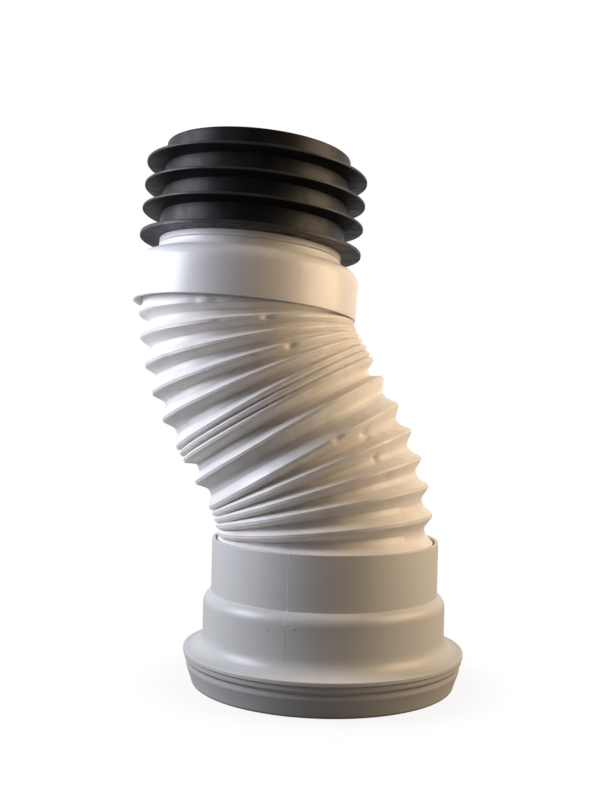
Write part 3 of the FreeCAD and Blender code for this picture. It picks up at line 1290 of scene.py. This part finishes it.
        lower = self.end_rows(crests[0], -1, self.cuff_radius, self.first_crest - self.cuff_end)
        table = still(lower[::-1])
        starts = []
        rings = [crest.ring(self.crest_radius, *circle) for crest in crests]
        for place, middle in enumerate(middles):
            low, high = rings[place], rings[place + 1]
            along = (high - low) / np.linalg.norm(high - low, axis=1)[:, None]
            inward = np.array(middle.centre) - middle.ring(1.0, *circle)
            inward -= (inward * along).sum(1)[:, None] * along
            inward /= np.linalg.norm(inward, axis=1)[:, None]
            share = self.last_share if place == len(middles) - 1 else 1.0
            starts.append(len(table))
            for _, edge, shoulder, foot, valley, upper in self.stations():
                near = np.tile((edge, shoulder, foot), (SIDES, 1))
                far = np.tile((valley, upper, share), (SIDES, 1))
                table.append((low, high, inward, near, far))
        upper_end = self.end_rows(crests[-1], 1, self.top_cuff_radius, self.top_cuff_length)
        table += still([rings[-1], *upper_end])
        columns = [np.array(column).reshape(-1, 3) for column in zip(*table)]
        mesh = new_mesh("tube_chain", columns[0], skin_faces(len(table), SIDES, False))
        units = {"low": MM, "high": MM, "inward": 1, "near": 1, "far": 1}
        for (name, unit), values in zip(units.items(), columns):
            layer = mesh.attributes.new(name, "FLOAT_VECTOR", "POINT")
            layer.data.foreach_set("vector", (values * unit).astype(np.float32).reshape(-1))
        return mesh, starts

    def wire(self, graph: Graph, size: dict[str, Signal], geometry: Socket) -> Socket:
        """Fold the chain: flanks of one length reach as deep as the opening lets them.

        Args:
            graph: The tree's graph.
            size: The named inputs.
            geometry: The chain.

        Returns:
            The folded skin, with each point's depth.
        """

        def known(name: str) -> Socket:
            """A vector that the chain's points carry."""
            kind, settings = "GeometryNodeInputNamedAttribute", {"data_type": "FLOAT_VECTOR"}
            return graph.node(kind, settings, {"Name": name}).outputs[0]

        def parts(name: str) -> list[Signal]:
            """The three numbers of such a vector."""
            split = graph.node("ShaderNodeSeparateXYZ", {}, {0: known(name)})
            return [Signal(graph, output) for output in split.outputs]

        def vector(operation: str, *values: Socket, **named: Socket | Signal) -> Socket:
            """The result of a Vector Math node."""
            inputs, settings = {**dict(enumerate(values)), **named}, {"operation": operation}
            return graph.node("ShaderNodeVectorMath", settings, inputs).outputs["Vector"]

        edge, shoulder, foot = parts("near")
        middle, upper, share = parts("far")
        span = vector("SUBTRACT", known("high"), known("low"))
        spacing = graph.value("ShaderNodeVectorMath", {"operation": "LENGTH"}, {0: span}, "Value")
        spread = size["Open width"] - size["Shut width"]
        opened = (spacing - size["Shut width"]).maths("DIVIDE", spread, clamp=True)
        flat = (spacing * self.crest_share).least(size["Crest flat"])
        widest = size["Shut shoulder"] + opened * (size["Shoulder"] - size["Shut shoulder"])
        slope = ((spacing - flat) * self.shoulder_share).least(widest)
        drop = slope * (self.shut_fall - opened * (self.shut_fall - self.open_fall))
        valley_part = opened * size["Valley share"] + self.least_valley
        valley = ((spacing - flat) * valley_part).least(size["Valley flat"])
        run = (spacing - valley - flat) * 0.5 - slope
        fall = (size["Flank"] * size["Flank"] - run * run).maths("MAXIMUM", 0.0).maths("SQRT")
        depth = fall * (opened * (1 - self.shut_reach) + self.shut_reach) + drop
        corner = flat * 0.5
        up = edge * corner + shoulder * (corner + slope)
        up = up + (foot + middle) * (spacing * 0.5) - foot * valley * 0.5
        rise = up + upper * (spacing - up * 2.0)
        centre = 1.0 - edge - shoulder - foot - middle
        inset = share * (shoulder * drop + (foot + middle) * depth + centre * size["Crest hollow"])
        along = vector("SCALE", vector("NORMALIZE", span), Scale=rise)
        across = vector("SCALE", known("inward"), Scale=inset)
        folded = vector("ADD", vector("ADD", known("low"), along), across)
        placed = {"Geometry": geometry, "Position": folded}
        moved = graph.node("GeometryNodeSetPosition", {}, placed)
        wave = {"Vector": folded, "W": size["Seed"], "Scale": size["Ripple scale"]}
        wave["Detail"] = self.ripple_detail
        waves = graph.value("ShaderNodeTexNoise", {"noise_dimensions": "4D"}, wave)
        sway = vector("SCALE", known("inward"), Scale=(waves - 0.5) * size["Ripple"] * 2.0 * share)
        shifted = {"Geometry": moved.outputs[0], "Offset": sway}
        waved = graph.node("GeometryNodeSetPosition", {}, shifted)
        stored = {"Geometry": waved.outputs[0], "Name": "depth", "Value": inset / MM}
        settings = {"data_type": "FLOAT", "domain": "POINT"}
        return graph.node("GeometryNodeStoreNamedAttribute", settings, stored).outputs[0]

    def dented(self, skin: np.ndarray, starts: list[int]) -> None:
        """Press the dents into the outer skin.

        Args:
            skin: The skin's points by row and side, moved in place.
            starts: The first row of each fold.
        """
        rows = len(self.stations())
        middles = self.stances()[1]
        for dent in self.dents:
            side = int(round(dent.angle / 360 * SIDES)) % SIDES
            centre = skin[starts[dent.fold] + min(int(dent.part * rows), rows - 1), side]
            inward = np.array(middles[dent.fold].centre) - centre
            distance = np.linalg.norm(skin - centre, axis=-1)
            push = dent.depth * np.exp(-((distance / dent.size) ** 2))
            skin += inward / np.linalg.norm(inward) * push[..., None]

    def build(self, material: Material) -> Mesh:
        """The tube's mesh: its folded skin, an inner skin a wall's thickness inside, and its ends.

        Args:
            material: The tube's finish.

        Returns:
            The mesh.
        """
        chain, starts = self.chain()
        folded = self.grow(chain, "tube_folds", material)
        depths = np.empty(len(folded.vertices))
        folded.attributes["depth"].data.foreach_get("value", depths)
        outer, depths = read(folded).reshape(-1, SIDES, 3), depths.reshape(-1, SIDES)
        self.dented(outer, starts)
        across = np.roll(outer, -1, axis=1) - np.roll(outer, 1, axis=1)
        normals = np.cross(across, np.gradient(outer, axis=0))
        normals /= np.linalg.norm(normals, axis=-1)[..., None]
        kept = np.unique(np.r_[np.arange(0, len(outer), self.inner_step), len(outer) - 1])
        inner = (outer - normals * self.wall)[kept][::-1]
        points = np.concatenate([outer, inner])
        mesh = new_mesh("folded_tube", points.reshape(-1, 3), skin_faces(len(points), SIDES, True))
        mark(mesh, {"inward": np.concatenate([depths, depths[kept][::-1]]).reshape(-1)})
        return smooth(mesh, self.crease)

    def dress(self) -> None:
        """Build the tube and show it."""
        material = CreasedTube("tube_soft").build()
        show(self.build(material), "folded_tube", material, "bellows")

    def spigot_stance(self) -> Stance:
        """Where the spigot's skirt begins, its overlap below the last crest."""
        return self.stances()[0][-1].raised(-self.skirt_overlap)


@dataclass
class Spigot:
    """The moulded outlet: skirt over the tube's end, round shoulder, flared neck, inner tube."""

    stance: Stance
    skirt_radius: float = 57.2
    skirt_straight: float = 17.7
    skirt_round: float = 7.8
    wall: float = 1.6
    neck_foot: float = 47.9
    neck_round: float = 6.5
    throat_radius: float = 46.9
    neck_step: float = 30.4
    step_groove: float = 0.8
    groove_depth: float = 1.3
    neck_radius: float = 46.8
    seal_seat: float = 33.0
    radius: float = 45.1
    tube_wall: float = 2.3
    top: float = 80.7

    def outline(self) -> np.ndarray:
        """The spigot's cross-section.

        Returns:
            Rows of radius and height.
        """
        shoulder = self.skirt_radius - self.skirt_round
        shoulder_top = self.skirt_straight + self.skirt_round
        skirt_bore = self.skirt_radius - self.wall
        bore = self.radius - self.tube_wall
        groove = self.neck_step - self.step_groove
        return profile(
            (self.skirt_radius, 0.0, 0.5),
            (self.skirt_radius, self.skirt_straight, 0.0),
            Arc(shoulder, shoulder_top, self.skirt_round, steps=12),
            (self.neck_foot, shoulder_top, 0.25),
            Arc(self.throat_radius, groove, self.neck_round, turn=-1, edge=0.2, steps=6),
            (self.throat_radius - self.groove_depth, groove + self.step_groove / 2, 0.1),
            (self.neck_radius, self.neck_step, 0.2),
            (self.neck_radius, self.seal_seat, 0.1),
            (self.radius, self.seal_seat, 0.1),
            (self.radius, self.top, 0.2),
            (bore, self.top, 0.4),
            (bore, self.neck_step, 1.0),
            (self.neck_foot - self.tube_wall, shoulder_top - self.wall, 1.0),
            (shoulder, shoulder_top - self.wall, 0.0),
            Arc(skirt_bore, self.skirt_straight, self.skirt_round - self.wall, turn=-1),
            (skirt_bore, 0.0, 0.5),
        )

    def dress(self) -> None:
        """Build the spigot in its place and show it."""
        mesh = turned("outlet_spigot", self.outline())
        self.stance.seat(mesh)
        show(mesh, "outlet_spigot", MouldedShell("spigot_shell").build(), "spigot")


@dataclass
class FinnedSleeve:
    """The rubber sleeve: a thick end fin on the neck's step, thin fins above, a turned-in end."""

    stance: Stance
    bore: float = 45.2
    end_bore: float = 42.8
    radius: float = 47.6
    seat_height: float = 33.0
    end_fin: float = 2.2
    spigot_top: float = 80.8
    top: float = 82.4
    fins: Rings = field(
        default_factory=lambda: Rings(
            first=46.7,
            pitch=12.1,
            count=3,
            root_radius=47.3,
            tip_radius=57.0,
            root_thickness=2.3,
            tip_thickness=1.2,
            rise=-1.0,
        )
    )

    def outline(self) -> np.ndarray:
        """The sleeve's cross-section with its end fin.

        Returns:
            Rows of radius and height.
        """
        tip, fin_top = self.fins.tip_radius, self.seat_height + self.end_fin
        return profile(
            (self.bore, self.seat_height, 0.1),
            (tip, self.seat_height, 0.5),
            (tip, fin_top, 0.7),
            (self.radius, fin_top, 1.0),
            (self.radius, self.top, 0.8),
            (self.end_bore, self.top, 0.6),
            (self.end_bore, self.spigot_top, 0.2),
            (self.bore, self.spigot_top, 0.1),
        )

    def dress(self) -> None:
        """Build the sleeve with its fins in its place and show it."""
        material = DullRubber("sleeve_rubber", fin_radius=self.fins.tip_radius).build()
        mesh = self.fins.added_to(turned("finned_sleeve", self.outline()), material)
        self.stance.seat(mesh)
        show(mesh, "finned_sleeve", material, "fin_seal")


# Studio.


@dataclass(frozen=True)
class Lamp:
    """A soft square lamp that looks at a point."""

    name: str
    place: Triple
    size: float
    power: float
    colour: Triple
    target: Triple = (-0.02, 0.0, 0.17)

    def hang(self) -> None:
        """Put the lamp in the scene."""
        data = bpy.data.lights.new(self.name, "AREA")
        data.shape, data.size = "SQUARE", self.size
        data.energy, data.color = self.power, self.colour
        lamp = bpy.data.objects.new(self.name, data)
        lamp.location = self.place
        lamp.visible_camera = False
        aim = Vector(self.target) - Vector(self.place)
        lamp.rotation_euler = aim.to_track_quat("-Z", "Y").to_euler()
        bpy.context.collection.objects.link(lamp)


@dataclass
class Studio:
    """The white floor and surround, the soft lamps and the camera at the photograph's angle."""

    camera_place: Triple = (-0.0143, -0.5455, 0.150)
    camera_pitch: float = -0.8
    camera_roll: float = 1.3
    focal_length: float = 48.24
    sensor: float = 36.0
    ambient: Triple = (0.015, 0.015, 0.015)
    overhead: Triple = (0.02, 0.02, 0.02)
    room: Triple = (0.07, 0.07, 0.075)
    ceiling: Triple = (0.25, 0.25, 0.26)
    behind: tuple[float, float] = (-0.25, 0.7)
    above: tuple[float, float] = (0.45, 1.0)
    floor_half: float = 4.0
    floor_tone: Triple = (0.22, 0.22, 0.22)
    floor_seen: Triple = (0.9, 0.9, 0.9)
    floor_glare: float = 0.4
    shadow_reach: tuple[float, float] = (0.066, 0.10)
    shadow_depth: float = 0.13
    lamps: tuple[Lamp, ...] = (
        Lamp("cool_left", (-0.40, -0.06, 0.28), 0.24, 2.02, (0.87, 0.88, 1.0)),
        Lamp("warm_right", (0.38, -0.065, 0.32), 0.34, 2.25, (1.0, 0.74, 0.49), (-0.02, 0.0, 0.33)),
    )

    def camera(self) -> None:
        """Set up the camera."""
        data = bpy.data.cameras.new("camera")
        data.lens, data.sensor_width = self.focal_length, self.sensor
        camera = bpy.data.objects.new("camera", data)
        turn = Matrix.Rotation(math.radians(90 + self.camera_pitch), 4, "X")
        turn = turn @ Matrix.Rotation(math.radians(self.camera_roll), 4, "Z")
        camera.matrix_world = Matrix.Translation(self.camera_place) @ turn
        bpy.context.collection.objects.link(camera)
        bpy.context.scene.camera = camera

    def surround(self) -> None:
        """Make a world that is dim for the lighting and white to look at or to mirror."""
        world = bpy.data.worlds.new("surround")
        world.use_nodes = True
        graph = Graph(world.node_tree)
        seen = graph.ray("Camera").maths("MAXIMUM", graph.ray("Transmission"))
        direction = {0: graph.node("ShaderNodeTexCoord").outputs["Generated"]}
        behind = graph.value("ShaderNodeSeparateXYZ", {}, direction, "Y").between(*self.behind)
        above = graph.value("ShaderNodeSeparateXYZ", {}, direction, "Z").between(*self.above)
        mirrored = graph.blend(behind, graph.blend(above, self.room, self.ceiling), WHITE)
        lighting = graph.blend(above, self.ambient, self.overhead)
        colour = graph.blend(seen, graph.blend(graph.ray("Glossy"), lighting, mirrored), WHITE)
        light = graph.node("ShaderNodeBackground", {}, {"Color": colour, "Strength": 1.0})
        graph.node("ShaderNodeOutputWorld", {}, {"Surface": light.outputs[0]})
        bpy.context.scene.world = world

    def floor(self) -> None:
        """Lay a pale floor that takes the object's shadow and is white further off."""
        half = self.floor_half * 1000
        corners = np.array([(-half, -half, 0), (half, -half, 0), (half, half, 0), (-half, half, 0)])
        mesh = new_mesh("floor", corners, np.array([(0, 1, 2, 3)]))
        material, graph = new_material("pale_floor")
        seen = graph.ray("Camera")
        length = {"operation": "LENGTH"}
        distance = graph.value("ShaderNodeVectorMath", length, {0: graph.place()}, "Value")
        away = distance.between(*self.shadow_reach)
        white = seen * (away * self.shadow_depth + (1 - self.shadow_depth))
        white = white + graph.ray("Glossy") * self.floor_glare
        pale = graph.blend(seen, self.floor_tone, self.floor_seen)
        diffuse = graph.node("ShaderNodeBsdfDiffuse", {}, {"Color": pale})
        glow = graph.node("ShaderNodeEmission", {}, {"Color": (*WHITE, 1.0), "Strength": 1.0})
        shaders = {0: white, 1: diffuse.outputs[0], 2: glow.outputs[0]}
        mixed = graph.node("ShaderNodeMixShader", {}, shaders)
        graph.node("ShaderNodeOutputMaterial", {}, {"Surface": mixed.outputs[0]})
        mesh.materials.append(material)
        floor = bpy.data.objects.new("floor", mesh)
        bpy.context.collection.objects.link(floor)

    def build(self) -> None:
        """Set up the whole studio."""
        bpy.context.scene.view_settings.view_transform = "Standard"
        self.camera()
        self.surround()
        self.floor()
        for lamp in self.lamps:
            lamp.hang()


def main() -> None:
    """Load the frame, build and dress each piece, and log the frame's nodes and each piece's points
    and faces.
    """
    logging.basicConfig(level=logging.INFO, format="%(message)s")
    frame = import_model()
    LOG.info("frame nodes: %s", ", ".join(sorted(frame["nodes"])))
    Studio().build()
    tube = FoldedTube()
    stance = tube.spigot_stance()
    for piece in (Bell(), PanSeal(), tube, Spigot(stance), FinnedSleeve(stance)):
        piece.dress()
    bpy.context.view_layer.update()


if __name__ == "__main__":
    main()
